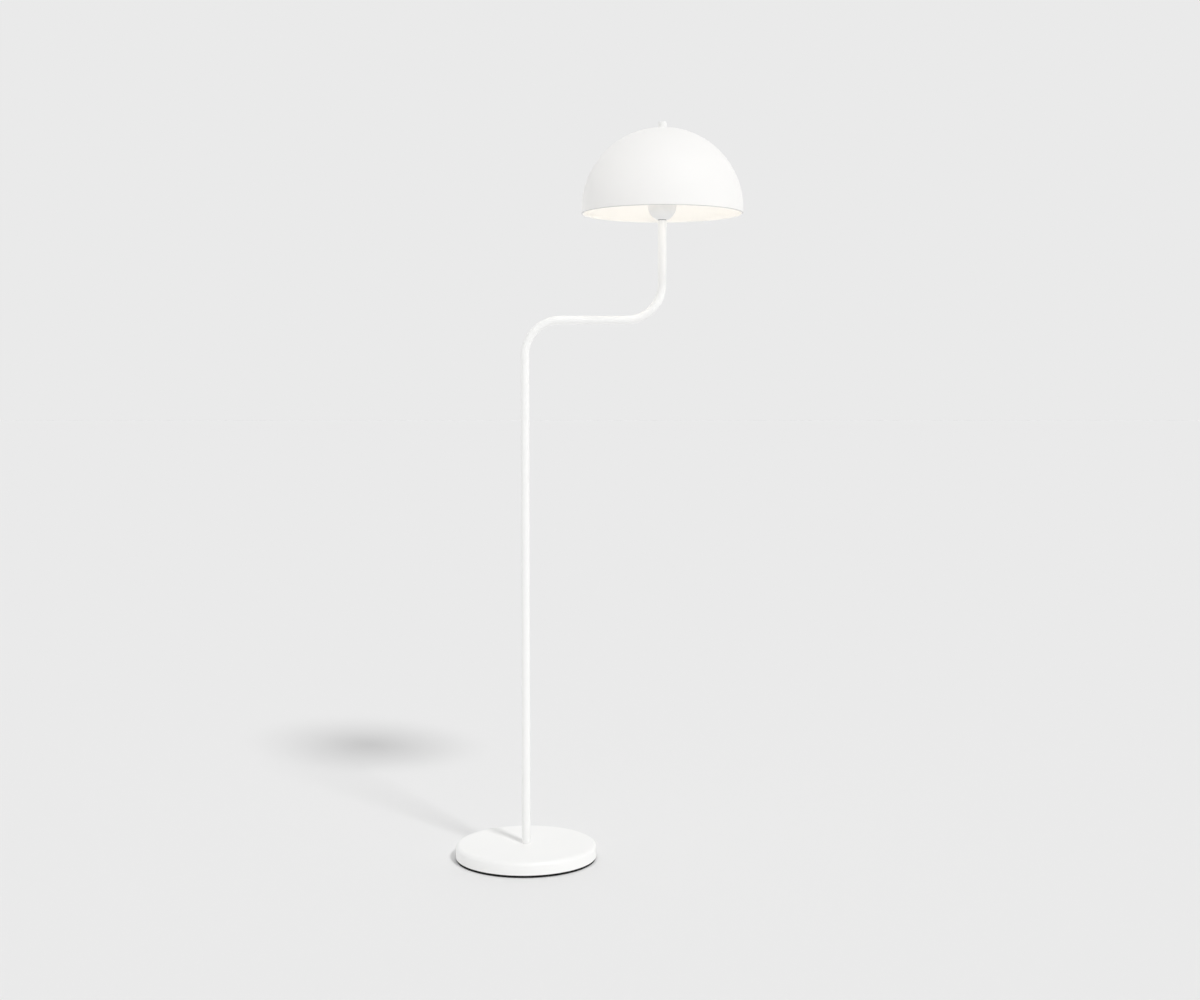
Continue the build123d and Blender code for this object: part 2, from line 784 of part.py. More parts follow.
# Labels and files
pieces = {
    "base_pad": base_pad,
    "base_cover": base_cover,
    "base_weight": base_weight,
    "cord_inlet": cord_inlet,
    "terminal_block": terminal_block,
    "terminal_screws": terminal_screws,
    "terminal_fixing": terminal_fixing,
    "base_nipple": base_nipple,
    "base_washer": base_washer,
    "base_nut": base_nut,
    "lower_pole": lower_pole,
    "foot_bush": foot_bush,
    "joint_spigot": joint_spigot,
    "joint_bush": joint_bush,
    "upper_pole": upper_pole,
    "top_bush": top_bush,
    "top_nipple": top_nipple,
    "cup_spacer": cup_spacer,
    "socket_cup": socket_cup,
    "holder_base": holder_base,
    "contact_carrier": contact_carrier,
    "centre_contact": centre_contact,
    "side_contact": side_contact,
    "contact_screws": contact_screws,
    "holder_shell": holder_shell,
    "clamp_ring": clamp_ring,
    "harp": harp,
    "seat_washer": seat_washer,
    "shade": shade,
    "finial_washer": finial_washer,
    "finial": finial,
    "bulb_contact": bulb_contact,
    "bulb_insulator": bulb_insulator,
    "bulb_cap": bulb_cap,
    "bulb_housing": bulb_housing,
    "led_board": led_board,
    "bulb_globe": bulb_globe,
    "inner_lead": inner_lead,
    "brown_core": brown_core,
    "blue_core": blue_core,
}
for name, piece in pieces.items():
    piece.part.label = name
    export_step(piece.part, f"parts/{name}.step")
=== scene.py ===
import json
import math

import bpy
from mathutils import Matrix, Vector


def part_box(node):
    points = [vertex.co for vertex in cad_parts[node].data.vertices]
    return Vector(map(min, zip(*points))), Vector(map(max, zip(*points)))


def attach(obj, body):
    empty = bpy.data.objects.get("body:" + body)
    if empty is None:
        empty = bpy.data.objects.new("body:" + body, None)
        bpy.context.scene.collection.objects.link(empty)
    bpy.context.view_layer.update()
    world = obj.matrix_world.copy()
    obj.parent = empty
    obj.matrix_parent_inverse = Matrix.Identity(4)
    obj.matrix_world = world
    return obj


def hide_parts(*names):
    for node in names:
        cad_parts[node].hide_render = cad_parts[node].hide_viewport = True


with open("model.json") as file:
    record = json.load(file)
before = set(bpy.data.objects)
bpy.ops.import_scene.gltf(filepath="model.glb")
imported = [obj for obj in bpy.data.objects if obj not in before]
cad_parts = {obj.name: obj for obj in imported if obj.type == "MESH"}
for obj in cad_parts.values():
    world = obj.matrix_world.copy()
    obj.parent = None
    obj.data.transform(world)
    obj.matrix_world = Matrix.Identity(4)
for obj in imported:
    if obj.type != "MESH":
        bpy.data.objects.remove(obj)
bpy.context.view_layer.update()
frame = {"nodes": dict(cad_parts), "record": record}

# Sizes that the frame doesn't give, in metres
MM = 0.001
SMALL_EDGE = 0.4 * MM

# Shade and finial
WALL_SHADE = 1.0 * MM
SHADE_HOLE_RADIUS = 3.3 * MM
SKIRT_HEIGHT = 8.5 * MM
HEM_HEIGHT = 6.0 * MM
HEM_WALL = 2.0 * MM
HEM_EDGE = 1.3 * MM
HEM_TOP_EDGE = 0.5 * MM
HEM_ROOT_EDGE = 0.3 * MM
LAND_RADIUS = 14.0 * MM
LAND_SOFTENING = 5.0 * MM
LAND_BLEND = (0.5, 0.0, -0.5, -1.0)  # offsets from the land's edge, in LAND_SOFTENING
# The second index after the outer paint is a painted shade: darker paint on the hem's lower edge
# for the shadow line under the rim.
INSIDE_COAT, PAINTED_SHADE_COAT = 1, 2  # the shade's material indices after its outer paint
FINIAL_EDGE = 1.2 * MM
FINIAL_RECESS_ROOM = 0.2 * MM
FINIAL_RECESS_EDGE = 0.2 * MM
FINIAL_BORE_RADIUS = 3.05 * MM
FINIAL_BORE_ROOM = 0.5 * MM

# Base and pole
WALL_COVER = 1.5 * MM
COVER_EDGE = 8.0 * MM
COVER_FOOT_EDGE = 0.5 * MM
NIPPLE_HOLE_RADIUS = 5.3 * MM
INLET_HOLE_RADIUS = 5.0 * MM
INLET_DRILL_DEPTH = 4 * WALL_COVER
PAD_TOP_EDGE = 0.3 * MM
PAD_FOOT_EDGE = 0.8 * MM
WALL_POLE = 1.2 * MM
BEND_RADIUS = 66.0 * MM
NECK_HEIGHT = 184.5 * MM
POLE_END_BEVEL = 0.3 * MM

# Cup and harp
WALL_CUP = 0.8 * MM
CUP_BOWL_HEIGHT = 24.0 * MM
CUP_FLAT_RADIUS = 8.3 * MM
CUP_MOUTH_EDGE = 0.35 * MM
WIRE_RADIUS = 2.0 * MM
HARP_RING_RADIUS = 27.0 * MM
HARP_RING_HOLE = 20.3 * MM
HARP_RING_THICKNESS = 1.5 * MM
HARP_RING_EDGE = 0.3 * MM
HARP_FOOT = 8.0 * MM
HARP_FLARE = 37.0 * MM
HARP_FOOT_BEND = 10.0 * MM
HARP_FLARE_BEND = 40.0 * MM
HARP_SHOULDER_BEND = 28.0 * MM
CROWN_RADIUS = 10.0 * MM
CROWN_THICKNESS = 4.0 * MM
WELD_DEPTH = 1.0 * MM

# Threads on the harp's stud, the bulb's cap and the lampholder's skirt
STUD_RADIUS = 3.0 * MM
STUD_PITCH = 1.0 * MM
STUD_THREAD_DEPTH = 0.4 * MM
WALL_CAP = 0.5 * MM
CAP_MOUTH_RADIUS = 10.5 * MM
CAP_TAPER = 3.0 * MM
CAP_PITCH = 3.63 * MM
CAP_THREAD_DEPTH = 0.9 * MM
SKIRT_RADIUS = 20.0 * MM
SKIRT_PITCH = 2.5 * MM
SKIRT_THREAD_DEPTH = 0.5 * MM
SKIRT_PLAIN_TOP = 2.0 * MM

# Fineness of the meshes
LATHE_STEPS = 192
COVER_STEPS = 2 * LATHE_STEPS
CUP_STEPS = 128
TUBE_STEPS = 64
WIRE_STEPS = 28
THREAD_STEPS = 72
ROWS_PER_TURN = 12
ROUNDING_STEP = math.radians(6)
ARC_STEP = math.radians(1.5)
SHARP_ANGLE = math.radians(32)
ON_AXIS = 1e-7

# A row of points just outside each rounding keeps the flats beside it evenly shaded
GUARD_REACH = 1.05
GUARD_EXTRA = 0.1 * MM
GUARD_LIMIT = 0.49

# Light, measured against the photograph's grey background. The sky's radiance in a direction is
# SKY_LEVEL plus the dot product of the direction with SKY_GRADE.
BACKGROUND = 0.823
SKY_LEVEL = 0.9155
SKY_GRADE = Vector((-0.1345, 0.375, -0.37))
SKY_ON_FLOOR = SKY_LEVEL + SKY_GRADE.z * 2 / 3
KEY_TRAVEL = Vector((-0.73, 1.065, -1.29)).normalized()
KEY_ON_FLOOR = 0.3265
KEY_ANGLE = math.radians(9.5)
FILL_PLACE = Vector((1.35, -1.2, 1.12))
FILL_TARGET = Vector((0.256, 0.0, 1.132))
FILL_WATTS = 19.0
FILL_CONE = math.radians(6.2)
FILL_BLEND = 0.8
FILL_RADIUS = 0.03
GLOW = (1.0, 0.9, 0.76)
GLOW_STRENGTH = 5.7
FLOOR_BOUNCE = 0.97
FLOOR_HALF_SIZE = 60.0

# Camera, from the fit to the photograph: focal length in the photograph's pixels
FOCAL_PX = 1636.0
PHOTO_WIDTH_PX = 1200.0
CAMERA_PLACE = (0.1404, -3.067, 0.8744)
CAMERA_TILT = 0.0624
CAMERA_SENSOR = 36.0
CAMERA_CLIP_END = 200.0


# Outlines
def rounded(corners, closed=True):
    """Points along straight runs between corners (a, b, radius), with an arc at each radius."""
    points = []
    count = len(corners)
    for i, (a, b, radius) in enumerate(corners):
        here = Vector((a, b))
        if radius == 0 or (not closed and i in (0, count - 1)):
            points.append(here)
            continue
        back = Vector(corners[i - 1][:2]) - here
        ahead = Vector(corners[(i + 1) % count][:2]) - here
        to_back, to_ahead = back.normalized(), ahead.normalized()
        half = back.angle(ahead) / 2
        reach = radius / math.tan(half)
        start = here + to_back * reach
        end = here + to_ahead * reach
        centre = here + (to_back + to_ahead).normalized() * (radius / math.sin(half))
        turn = math.pi - 2 * half
        steps = max(3, math.ceil(turn / ROUNDING_STEP))
        side = 1 if (start - centre).to_3d().cross((end - centre).to_3d()).z > 0 else -1
        first = math.atan2(start.y - centre.y, start.x - centre.x)
        guard = reach * GUARD_REACH + GUARD_EXTRA
        points.append(here + to_back * min(guard, back.length * GUARD_LIMIT))
        for k in range(steps + 1):
            angle = first + side * turn * k / steps
            points.append(centre + radius * Vector((math.cos(angle), math.sin(angle))))
        points.append(here + to_ahead * min(guard, ahead.length * GUARD_LIMIT))
    return points


def arc(centre, radius, start, end):
    """Points on an arc round centre, angles in radians from the first axis."""
    steps = max(2, math.ceil(abs(end - start) / ARC_STEP))
    angles = [start + (end - start) * k / steps for k in range(steps + 1)]
    a, b = centre
    return [Vector((a + radius * math.cos(t), b + radius * math.sin(t))) for t in angles]


# Meshes
def new_piece(name, verts, faces, body, slot, replaces=()):
    """A smooth mesh that rides on a body and takes a slot's finish."""
    mesh = bpy.data.meshes.new(name)
    mesh.from_pydata([tuple(v) for v in verts], [], faces)
    mesh.validate()
    mesh.shade_smooth()
    mesh.set_sharp_from_angle(angle=SHARP_ANGLE)
    piece = bpy.data.objects.new(name, mesh)
    bpy.context.scene.collection.objects.link(piece)
    mesh.materials.append(finishes[slot])
    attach(piece, body)
    if replaces:
        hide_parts(*replaces)
    return piece


def lathe(outline, centre_x, steps=LATHE_STEPS):
    """Vertices and faces of a closed outline of (radius, height) turned round an upright axis."""
    verts, faces, rings = [], [], []
    for r, z in outline:
        if r < ON_AXIS:
            rings.append([len(verts)])
            verts.append((centre_x, 0, z))
            continue
        first = len(verts)
        rings.append(list(range(first, first + steps)))
        for k in range(steps):
            angle = 2 * math.pi * k / steps
            verts.append((centre_x + r * math.cos(angle), r * math.sin(angle), z))
    for ring, after in zip(rings, rings[1:] + rings[:1]):
        if len(ring) == 1 and len(after) == 1:
            continue
        for k in range(steps):
            n = (k + 1) % steps
            if len(ring) == 1:
                faces.append((ring[0], after[n], after[k]))
            elif len(after) == 1:
                faces.append((ring[k], ring[n], after[0]))
            else:
                faces.append((ring[k], ring[n], after[n], after[k]))
    return verts, faces


def skin(rows, steps, closed):
    """Faces between rows of vertices: the last row meets the first, or both ends get a cap."""
    faces = []
    for i in range(rows if closed else rows - 1):
        j = (i + 1) % rows
        for k in range(steps):
            n = (k + 1) % steps
            faces.append((i * steps + k, i * steps + n, j * steps + n, j * steps + k))
    if not closed:
        faces.append(tuple(range(steps))[::-1])
        faces.append(tuple((rows - 1) * steps + k for k in range(steps)))
    return faces


def sweep(path, sections, steps, closed):
    """Circles along a path in the XZ plane; sections gives (path index, radius) in order."""
    verts = []
    for index, radius in sections:
        before, after = path[max(index - 1, 0)], path[min(index + 1, len(path) - 1)]
        along = (after - before).normalized()
        across = Vector((along.y, -along.x))
        for k in range(steps):
            angle = 2 * math.pi * k / steps
            shift = across * (radius * math.cos(angle))
            here = path[index]
            verts.append((here.x + shift.x, radius * math.sin(angle), here.y + shift.y))
    return verts, skin(len(sections), steps, closed)


def turned(rows, radius_at, centre_x, closed):
    """Rings at rows of (height, depth), with radius_at(height, step) less the depth as radius."""
    verts = []
    for z, depth in rows:
        for k in range(THREAD_STEPS):
            angle = 2 * math.pi * k / THREAD_STEPS
            r = radius_at(z, k) - depth
            verts.append((centre_x + r * math.cos(angle), r * math.sin(angle), z))
    return verts, skin(len(rows), THREAD_STEPS, closed)


def thread_height(z, k, pitch):
    """Height of a round thread at a level and a step of the turn: 0 at its root, 1 at its crest."""
    return 0.5 + 0.5 * math.cos(2 * math.pi * (z / pitch - k / THREAD_STEPS))


def levels(low, high, pitch):
    """Heights from low to high, close enough together to show a thread of this pitch."""
    rows = math.ceil((high - low) / pitch * ROWS_PER_TURN)
    return [low + (high - low) * i / rows for i in range(rows + 1)]


def merged(*meshes):
    """Several vertex and face lists as one."""
    verts, faces = [], []
    for more_verts, more_faces in meshes:
        shift = len(verts)
        verts += more_verts
        faces += [tuple(i + shift for i in face) for face in more_faces]
    return verts, faces


# Materials
def surface(name, colour, roughness, metallic=0.0, specular=0.5):
    """A principled material with its colour, roughness and metal set on the shader itself."""
    material = bpy.data.materials.new(name)
    material.use_nodes = True
    shader = material.node_tree.nodes["Principled BSDF"]
    shader.inputs["Base Color"].default_value = (*colour, 1)
    shader.inputs["Roughness"].default_value = roughness
    shader.inputs["Metallic"].default_value = metallic
    shader.inputs["Specular IOR Level"].default_value = specular
    return material, material.node_tree, shader


def texture(tree, kind, scale, detail=2.0, stretch=(1, 1, 1)):
    """A procedural texture on object coordinates, in cells per metre."""
    place = tree.nodes.new("ShaderNodeTexCoord")
    mapping = tree.nodes.new("ShaderNodeMapping")
    mapping.inputs["Scale"].default_value = stretch
    tree.links.new(place.outputs["Object"], mapping.inputs["Vector"])
    node = tree.nodes.new("ShaderNodeTexNoise" if kind == "noise" else "ShaderNodeTexVoronoi")
    node.inputs["Scale"].default_value = scale
    if kind == "noise":
        node.inputs["Detail"].default_value = detail
    tree.links.new(mapping.outputs["Vector"], node.inputs["Vector"])
    return node.outputs["Fac" if kind == "noise" else "Distance"]


def tinted(tree, shader, source, low, high):
    """Base colour that drifts between two colours with the middle of a texture's range."""
    ramp = tree.nodes.new("ShaderNodeValToRGB")
    first, last = ramp.color_ramp.elements
    first.position, last.position = 0.3, 0.7
    first.color, last.color = (*low, 1), (*high, 1)
    tree.links.new(source, ramp.inputs["Fac"])
    tree.links.new(ramp.outputs["Color"], shader.inputs["Base Color"])


def roughened(tree, shader, source, low, high):
    """Roughness that drifts between two values with a texture."""
    spread = tree.nodes.new("ShaderNodeMapRange")
    spread.inputs["To Min"].default_value = low
    spread.inputs["To Max"].default_value = high
    tree.links.new(source, spread.inputs["Value"])
    tree.links.new(spread.outputs["Result"], shader.inputs["Roughness"])


def bumped(tree, shader, source, strength, depth):
    """Fine relief from a texture, depth in metres."""
    bump = tree.nodes.new("ShaderNodeBump")
    bump.inputs["Strength"].default_value = strength
    bump.inputs["Distance"].default_value = depth
    tree.links.new(source, bump.inputs["Height"])
    tree.links.new(bump.outputs["Normal"], shader.inputs["Normal"])


def shaded(colour, factor):
    """A colour times a factor."""
    return tuple(c * factor for c in colour)


def paint(name, colour, roughness=0.42, specular=0.5):
    """Powder coat: faint drift of tone, fine orange-peel relief, uneven satin gloss."""
    material, tree, shader = surface(name, colour, roughness, specular=specular)
    drift = texture(tree, "noise", scale=9.0)
    gloss = texture(tree, "noise", scale=160.0)
    peel = texture(tree, "noise", scale=1100.0, detail=1.0)
    tinted(tree, shader, drift, low=shaded(colour, 0.992), high=colour)
    roughened(tree, shader, gloss, low=roughness - 0.04, high=roughness + 0.06)
    bumped(tree, shader, peel, strength=0.12, depth=0.05 * MM)
    return material


def plastic(name, colour, roughness=0.5, darkest=0.97):
    """Moulded plastic with a fine spark-eroded grain."""
    material, tree, shader = surface(name, colour, roughness)
    drift = texture(tree, "noise", scale=40.0)
    gloss = texture(tree, "noise", scale=600.0)
    grain = texture(tree, "noise", scale=2600.0)
    tinted(tree, shader, drift, low=shaded(colour, darkest), high=colour)
    roughened(tree, shader, gloss, low=roughness - 0.06, high=roughness + 0.06)
    bumped(tree, shader, grain, strength=0.2, depth=0.03 * MM)
    return material


def metal(name, colour, roughness, stretch=(1, 1, 1)):
    """Plated or rolled metal with fine lines or a soft mottle."""
    material, tree, shader = surface(name, colour, roughness, metallic=1.0)
    mottle = texture(tree, "noise", scale=120.0, detail=4.0)
    lines = texture(tree, "noise", scale=900.0, detail=3.0, stretch=stretch)
    tinted(tree, shader, mottle, low=shaded(colour, 0.88), high=colour)
    roughened(tree, shader, lines, low=roughness - 0.1, high=roughness + 0.1)
    bumped(tree, shader, lines, strength=0.15, depth=0.03 * MM)
    return material


def foam(name, colour):
    """Closed-cell foam: small round cells and a dusty face."""
    material, tree, shader = surface(name, colour, 0.9, specular=0.3)
    dust = texture(tree, "noise", scale=260.0, detail=4.0)
    cells = texture(tree, "cells", scale=1300.0)
    tinted(tree, shader, dust, low=shaded(colour, 0.7), high=shaded(colour, 1.5))
    bumped(tree, shader, cells, strength=0.6, depth=0.25 * MM)
    return material


def casting(name, colour, rust):
    """Raw iron casting: sandy skin with a trace of rust."""
    material, tree, shader = surface(name, colour, 0.75, metallic=0.4)
    stains = texture(tree, "noise", scale=30.0, detail=6.0)
    sand = texture(tree, "noise", scale=700.0, detail=6.0)
    tinted(tree, shader, stains, low=colour, high=rust)
    bumped(tree, shader, sand, strength=0.7, depth=0.4 * MM)
    return material


def opal(name, colour, glow, strength):
    """Lit opal diffuser with a slightly uneven skin."""
    material, tree, shader = surface(name, colour, 0.45)
    drift = texture(tree, "noise", scale=60.0)
    gloss = texture(tree, "noise", scale=500.0)
    tinted(tree, shader, drift, low=shaded(colour, 0.97), high=colour)
    roughened(tree, shader, gloss, low=0.4, high=0.5)
    shader.inputs["Emission Color"].default_value = (*glow, 1)
    shader.inputs["Emission Strength"].default_value = strength
    return material


finishes = {
    "white_paint": paint("white_paint", (0.927, 0.927, 0.916)),
    "shade_paint": paint("shade_paint", (0.925, 0.917, 0.903), roughness=0.6, specular=0.3),
    # Painted shade: the shade's white paint darkened, for the thin shadow line along the rim's
    # rolled lower edge.
    "rim_painted_shade": paint("rim_painted_shade", (0.68, 0.677, 0.67), roughness=0.6, specular=0.3),
    "shade_inside": paint("shade_inside", (0.92, 0.915, 0.90), roughness=0.55),
    # Painted shade: the cup's white paint toned down to a pale grey for the shade it hangs in under
    # the lampshade.
    "cup_paint": paint("cup_paint", (0.815, 0.815, 0.811)),
    "pad_foam": foam("pad_foam", (0.010, 0.010, 0.010)),
    "iron": casting("iron", (0.10, 0.10, 0.105), rust=(0.14, 0.10, 0.08)),
    "black_rubber": plastic("black_rubber", (0.025, 0.025, 0.025), roughness=0.7, darkest=0.7),
    "zinc": metal("zinc", (0.66, 0.67, 0.69), 0.35),
    "harp_steel": metal("harp_steel", (0.72, 0.71, 0.69), 0.3, stretch=(1, 1, 0.08)),
    "white_plastic": plastic("white_plastic", (0.86, 0.86, 0.85)),
    "nylon": plastic("nylon", (0.84, 0.83, 0.79), roughness=0.55),
    "carrier_ceramic": plastic("carrier_ceramic", (0.78, 0.76, 0.71), roughness=0.75, darkest=0.9),
    "brass": metal("brass", (0.80, 0.60, 0.28), 0.3),
    "cap_metal": metal("cap_metal", (0.78, 0.77, 0.75), 0.28),
    "cap_insulator": plastic("cap_insulator", (0.02, 0.02, 0.024), roughness=0.2, darkest=0.8),
    "bulb_plastic": plastic("bulb_plastic", (0.90, 0.90, 0.88)),
    "board_metal": metal("board_metal", (0.85, 0.85, 0.83), 0.5),
    "opal": opal("opal", (0.95, 0.92, 0.86), GLOW, GLOW_STRENGTH),
    "sheath": plastic("sheath", (0.83, 0.83, 0.82), roughness=0.45),
    "brown_wire": plastic("brown_wire", (0.20, 0.09, 0.04), roughness=0.4, darkest=0.85),
    "blue_wire": plastic("blue_wire", (0.05, 0.16, 0.48), roughness=0.4, darkest=0.85),
}
for row in frame["record"]["subparts"]:
    mesh = frame["nodes"][row["node"]].data
    mesh.materials.clear()
    mesh.materials.append(finishes[row["material_slot"]])


# Pieces that stand in for the plain nodes
def build_shade():
    """Spun dome with a soft-edged land, a skirt and a folded hem; a band of painted shade darkens
    the hem's lower edge.
    """
    low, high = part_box("shade")
    x = (low.x + high.x) / 2
    radius = max(high.x - low.x, high.y - low.y) / 2
    inside = radius - WALL_SHADE
    hem_in = inside - HEM_WALL
    hem_top = low.z + HEM_HEIGHT
    spring = low.z + SKIRT_HEIGHT

    def dome(r, top):
        edge = math.asin((top - spring) / r)
        side = arc((0, spring), r, 0, edge - LAND_SOFTENING / r)
        blend = [Vector((LAND_RADIUS + LAND_SOFTENING * f, 0)) for f in LAND_BLEND]
        for point in blend:
            on_ball = spring + math.sqrt(r * r - point.x**2)
            ease = (LAND_RADIUS + LAND_SOFTENING - point.x) / (2 * LAND_SOFTENING)
            point.y = on_ball + (top - on_ball) * ease * ease * (3 - 2 * ease)
        return side + blend

    outer = dome(radius, high.z)
    inner = dome(inside, high.z - WALL_SHADE)[::-1]
    rim = rounded(
        [
            (inside, spring, 0),
            (inside, hem_top, HEM_ROOT_EDGE),
            (hem_in, hem_top, HEM_TOP_EDGE),
            (hem_in, low.z, HEM_EDGE),
            (radius, low.z, HEM_EDGE),
            (radius, spring, 0),
        ],
        closed=False,
    )
    hole = [Vector((SHADE_HOLE_RADIUS, z)) for z in (high.z, high.z - WALL_SHADE)]
    verts, faces = lathe(inner[:-1] + rim[:-1] + outer + hole, x)
    piece = new_piece("shade_shell", verts, faces, "shade", "shade_paint", ["shade"])
    piece.data.materials.append(finishes["shade_inside"])
    piece.data.materials.append(finishes["rim_painted_shade"])
    for polygon in piece.data.polygons:
        spot = polygon.center - Vector((x, 0, spring))
        # Painted shade: faces on the hem's rounded lower edge take the darker band that stands in
        # for the shadow under the rim.
        if polygon.center.z < low.z + HEM_EDGE and spot.xy.length > radius - HEM_EDGE:
            polygon.material_index = PAINTED_SHADE_COAT
            continue
        spot.z = max(spot.z, 0)
        if polygon.normal.dot(spot) < 0:
            polygon.material_index = INSIDE_COAT


def build_finial():
    """Plain knob with a softened crown, and a washer recess and a bore below."""
    low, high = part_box("finial")
    washer_low, washer_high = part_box("finial_washer")
    x = (low.x + high.x) / 2
    radius = (high.x - low.x) / 2
    recess = (washer_high.x - washer_low.x) / 2 + FINIAL_RECESS_ROOM
    bore_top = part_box("harp")[1].z + FINIAL_BORE_ROOM
    outline = rounded(
        [
            (0, high.z, 0),
            (radius, high.z, FINIAL_EDGE),
            (radius, low.z, SMALL_EDGE),
            (recess, low.z, FINIAL_RECESS_EDGE),
            (recess, washer_high.z, 0),
            (FINIAL_BORE_RADIUS, washer_high.z, 0),
            (FINIAL_BORE_RADIUS, bore_top, 0),
            (0, bore_top, 0),
        ]
    )
    verts, faces = lathe(outline, x, TUBE_STEPS)
    new_piece("finial_knob", verts, faces, "finial", "white_paint", ["finial"])


def build_cover():
    """Pressed shell with a broad top radius, a softened lower edge and the inlet's hole."""
    low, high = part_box("base_cover")
    radius = max(high.x - low.x, high.y - low.y) / 2
    inside = radius - WALL_COVER
    roof = high.z - WALL_COVER
    outline = rounded(
        [
            (NIPPLE_HOLE_RADIUS, high.z, 0),
            (radius, high.z, COVER_EDGE),
            (radius, low.z, COVER_FOOT_EDGE),
            (inside, low.z, COVER_FOOT_EDGE),
            (inside, roof, COVER_EDGE - WALL_COVER),
            (NIPPLE_HOLE_RADIUS, roof, 0),
        ]
    )
    verts, faces = lathe(outline, 0, COVER_STEPS)
    shell = new_piece("base_shell", verts, faces, "stand", "white_paint", ["base_cover"])
    inlet_low, inlet_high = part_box("cord_inlet")
    spot = Vector((0, radius, (inlet_low.z + inlet_high.z) / 2))
    drill(shell, spot, INLET_HOLE_RADIUS, INLET_DRILL_DEPTH)


def drill(piece, spot, radius, depth):
    """A round hole through a piece's wall at a spot on its rear, along Y."""
    corners = ((0, -depth), (radius, -depth), (radius, depth), (0, depth))
    verts, faces = lathe([Vector(corner) for corner in corners], 0, TUBE_STEPS)
    mesh = bpy.data.meshes.new("drill")
    mesh.from_pydata([(spot.x + x, spot.y + z, spot.z - y) for x, y, z in verts], [], faces)
    tool = bpy.data.objects.new("drill", mesh)
    bpy.context.scene.collection.objects.link(tool)
    cut = piece.modifiers.new("hole", "BOOLEAN")
    cut.operation = "DIFFERENCE"
    cut.solver = "EXACT"
    cut.object = tool
    bpy.context.view_layer.update()
    whole = piece.data
    evaluated = piece.evaluated_get(bpy.context.evaluated_depsgraph_get())
    holed = bpy.data.meshes.new_from_object(evaluated)
    piece.modifiers.remove(cut)
    piece.data = holed
    holed.shade_smooth()
    holed.set_sharp_from_angle(angle=SHARP_ANGLE)
    bpy.data.meshes.remove(whole)
    bpy.data.objects.remove(tool)
    bpy.data.meshes.remove(mesh)


def build_pad():
    """Foam disc with a slightly rounded cut edge."""
    low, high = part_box("base_pad")
    radius = max(high.x - low.x, high.y - low.y) / 2
    outline = rounded(
        [
            (0, high.z, 0),
            (radius, high.z, PAD_TOP_EDGE),
            (radius, low.z, PAD_FOOT_EDGE),
            (0, low.z, 0),
        ]
    )
    verts, faces = lathe(outline, 0)
    new_piece("foam_pad", verts, faces, "stand", "pad_foam", ["base_pad"])


def tube(path, radius):
    """Hollow tube with lightly broken ends, so that the section joint is a hairline."""
    inner = radius - WALL_POLE
    bevel = POLE_END_BEVEL
    first = path[0] + (path[1] - path[0]).normalized() * bevel
    last = path[-1] + (path[-2] - path[-1]).normalized() * bevel
    line = [path[0], first, *path[1:-1], last, path[-1]]
    end = len(line) - 1
    outside = [(0, radius - bevel), *((i, radius) for i in range(1, end)), (end, radius - bevel)]
    inside = [(i, inner) for i in range(end, -1, -1)]
    return sweep(line, outside + inside, TUBE_STEPS, closed=True)


def build_poles():
    """Straight lower tube, and upper tube bent sideways as a level arm and up again."""
    low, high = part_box("lower_pole")
    radius = (high.x - low.x) / 2
    joint = high.z
    straight = [Vector((0, z)) for z in (low.z, (low.z + joint) / 2, joint)]
    verts, faces = tube(straight, radius)
    new_piece("pole_lower_tube", verts, faces, "stand", "white_paint", ["lower_pole"])
    low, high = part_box("upper_pole")
    reach = high.x - radius
    arm = high.z - NECK_HEIGHT
    route = rounded(
        [
            (0, joint, 0),
            (0, arm, BEND_RADIUS),
            (reach, arm, BEND_RADIUS),
            (reach, high.z, 0),
        ],
        closed=False,
    )
    verts, faces = tube(route, radius)
    new_piece("pole_upper_tube", verts, faces, "stand", "white_paint", ["upper_pole"])


def build_cup():
    """Thin bowl with a rounded mouth."""
    low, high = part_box("socket_cup")
    x = (low.x + high.x) / 2
    radius = (high.x - low.x) / 2
    inside = radius - WALL_CUP
    spread = radius**2 - CUP_FLAT_RADIUS**2 - CUP_BOWL_HEIGHT**2
    middle = spread / (2 * (radius - CUP_FLAT_RADIUS))
    ball = radius - middle
    spring = low.z + CUP_BOWL_HEIGHT
    outer_floor = -math.asin(CUP_BOWL_HEIGHT / ball)
    inner_floor = -math.asin((CUP_BOWL_HEIGHT - WALL_CUP) / (ball - WALL_CUP))
    outer = arc((middle, spring), ball, outer_floor, 0)
    mouth = rounded(
        [
            (radius, spring, 0),
            (radius, high.z, CUP_MOUTH_EDGE),
            (inside, high.z, CUP_MOUTH_EDGE),
            (inside, spring, 0),
        ],
        closed=False,
    )
    inner = arc((middle, spring), ball - WALL_CUP, 0, inner_floor)
    hole = [Vector((NIPPLE_HOLE_RADIUS, z)) for z in (low.z + WALL_CUP, low.z)]
    verts, faces = lathe(outer[:-1] + mouth + inner[1:] + hole, x, CUP_STEPS)
    new_piece("cup_bowl", verts, faces, "stand", "cup_paint", ["socket_cup"])


